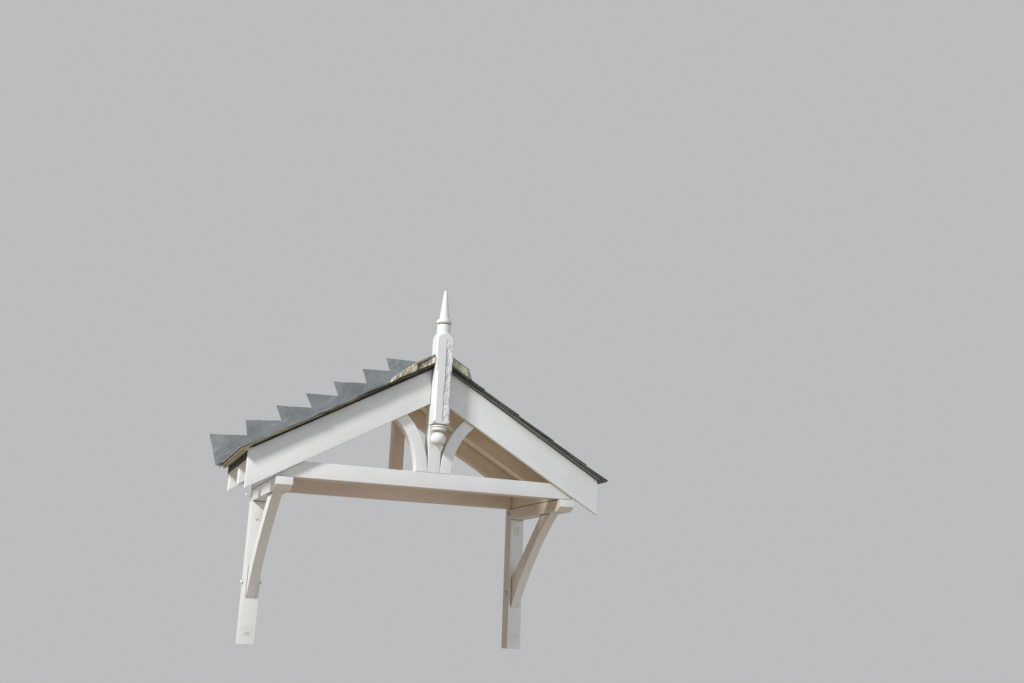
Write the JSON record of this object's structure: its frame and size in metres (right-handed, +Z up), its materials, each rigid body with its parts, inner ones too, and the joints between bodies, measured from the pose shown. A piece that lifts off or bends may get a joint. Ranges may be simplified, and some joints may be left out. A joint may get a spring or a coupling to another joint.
{
  "type": "gabled timber porch canopy on gallows brackets",
  "caption": "Gabled entrance porch canopy: white timber truss with turned finial, slate roof and stepped lead flashing, held on gallows brackets fixed to a wall.",
  "frame": {"origin": "centre of the rear tie beam's flat back face, in the plane of the wall", "axes": "+Y into the wall, square to it; X along the wall; +Z up"},
  "size_m": [1.7864, 0.685, 1.5768],
  "materials": {
    "bracket_paint": "white gloss paint on planed softwood, weathered",
    "truss_paint": "white gloss paint on planed softwood, weathered",
    "board_paint": "white gloss paint on board, soft brush marks",
    "finial_paint": "white gloss paint, cracked and flaking along a split",
    "soffit_paint": "off-white paint, dull and dusty",
    "sawn_batten": "rough sawn softwood",
    "slate": "riven slate, matt, with lichen at the edges",
    "mortar": "sandy cement mortar, rough and stained",
    "ridge_clay": "dark fired clay, matt",
    "lead": "sheet lead with a pale grey patina"
  },
  "bodies": {
    "root": {"left_wall_post": "bracket_paint", "right_wall_post": "bracket_paint", "left_bracket_arm": "bracket_paint", "right_bracket_arm": "bracket_paint", "left_bracket_brace": "bracket_paint", "right_bracket_brace": "bracket_paint", "left_bracket_pegs": "bracket_paint", "right_bracket_pegs": "bracket_paint", "front_tie_beam": "truss_paint", "rear_tie_beam": "truss_paint", "front_king_post": "truss_paint", "rear_king_post": "truss_paint", "left_curved_strut": "truss_paint", "right_curved_strut": "truss_paint", "left_side_plate": "truss_paint", "right_side_plate": "truss_paint", "front_left_rafter": "truss_paint", "front_right_rafter": "truss_paint", "middle_left_rafter": "truss_paint", "middle_right_rafter": "truss_paint", "rear_left_rafter": "truss_paint", "rear_right_rafter": "truss_paint", "left_bargeboard": "board_paint", "right_bargeboard": "board_paint", "finial": "finial_paint", "left_roof_boards": "soffit_paint", "right_roof_boards": "soffit_paint", "left_slate_battens": "sawn_batten", "right_slate_battens": "sawn_batten", "left_undercloak": "slate", "right_undercloak": "slate", "left_verge_mortar": "mortar", "right_verge_mortar": "mortar", "left_slates": "slate", "right_slates": "slate", "ridge_mortar": "mortar", "ridge_tiles": "ridge_clay", "left_lead_apron": "lead", "right_lead_apron": "lead", "left_stepped_flashing": "lead", "right_stepped_flashing": "lead", "lead_saddle": "lead"}
  },
  "joints": []
}
